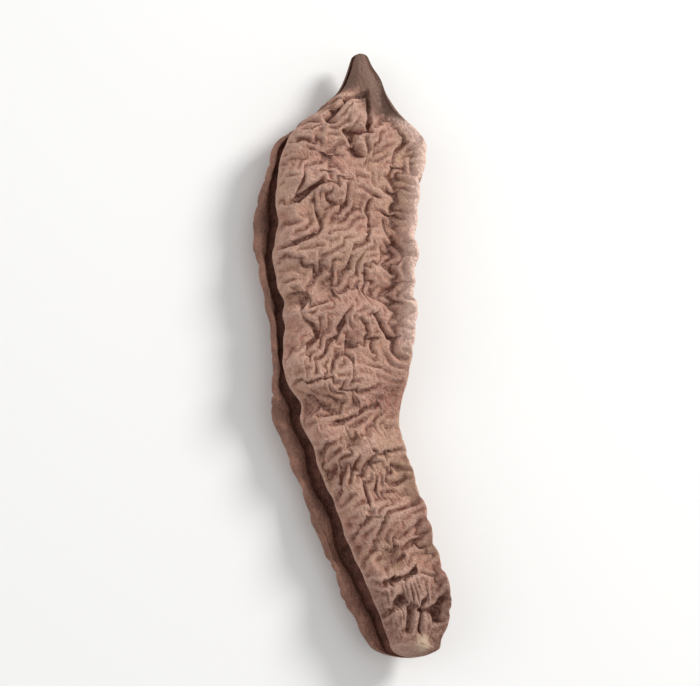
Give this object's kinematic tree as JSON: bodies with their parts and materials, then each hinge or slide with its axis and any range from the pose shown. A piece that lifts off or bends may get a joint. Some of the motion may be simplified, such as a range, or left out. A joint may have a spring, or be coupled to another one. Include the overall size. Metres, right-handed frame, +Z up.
{
  "type": "dried shikakai pod",
  "caption": "Whole dried shikakai pod with wrinkled valves, a pointed beak, one closed suture and one that has opened along its edge; rests flat.",
  "frame": {"origin": "centre of the pod's box in X and Y, on the surface that it rests on", "axes": "+Y along the pod, from the blunt stalk end to the beak; +X to the closed suture, so the open suture is on -X; +Z up, out of the upper valve"},
  "size_m": [0.026, 0.08, 0.0087],
  "materials": {
    "pod_husk": "dry, wrinkled, dusty matt husk, pinkish brown with dark creases"
  },
  "bodies": {
    "root": {"pod": "pod_husk"}
  },
  "joints": []
}
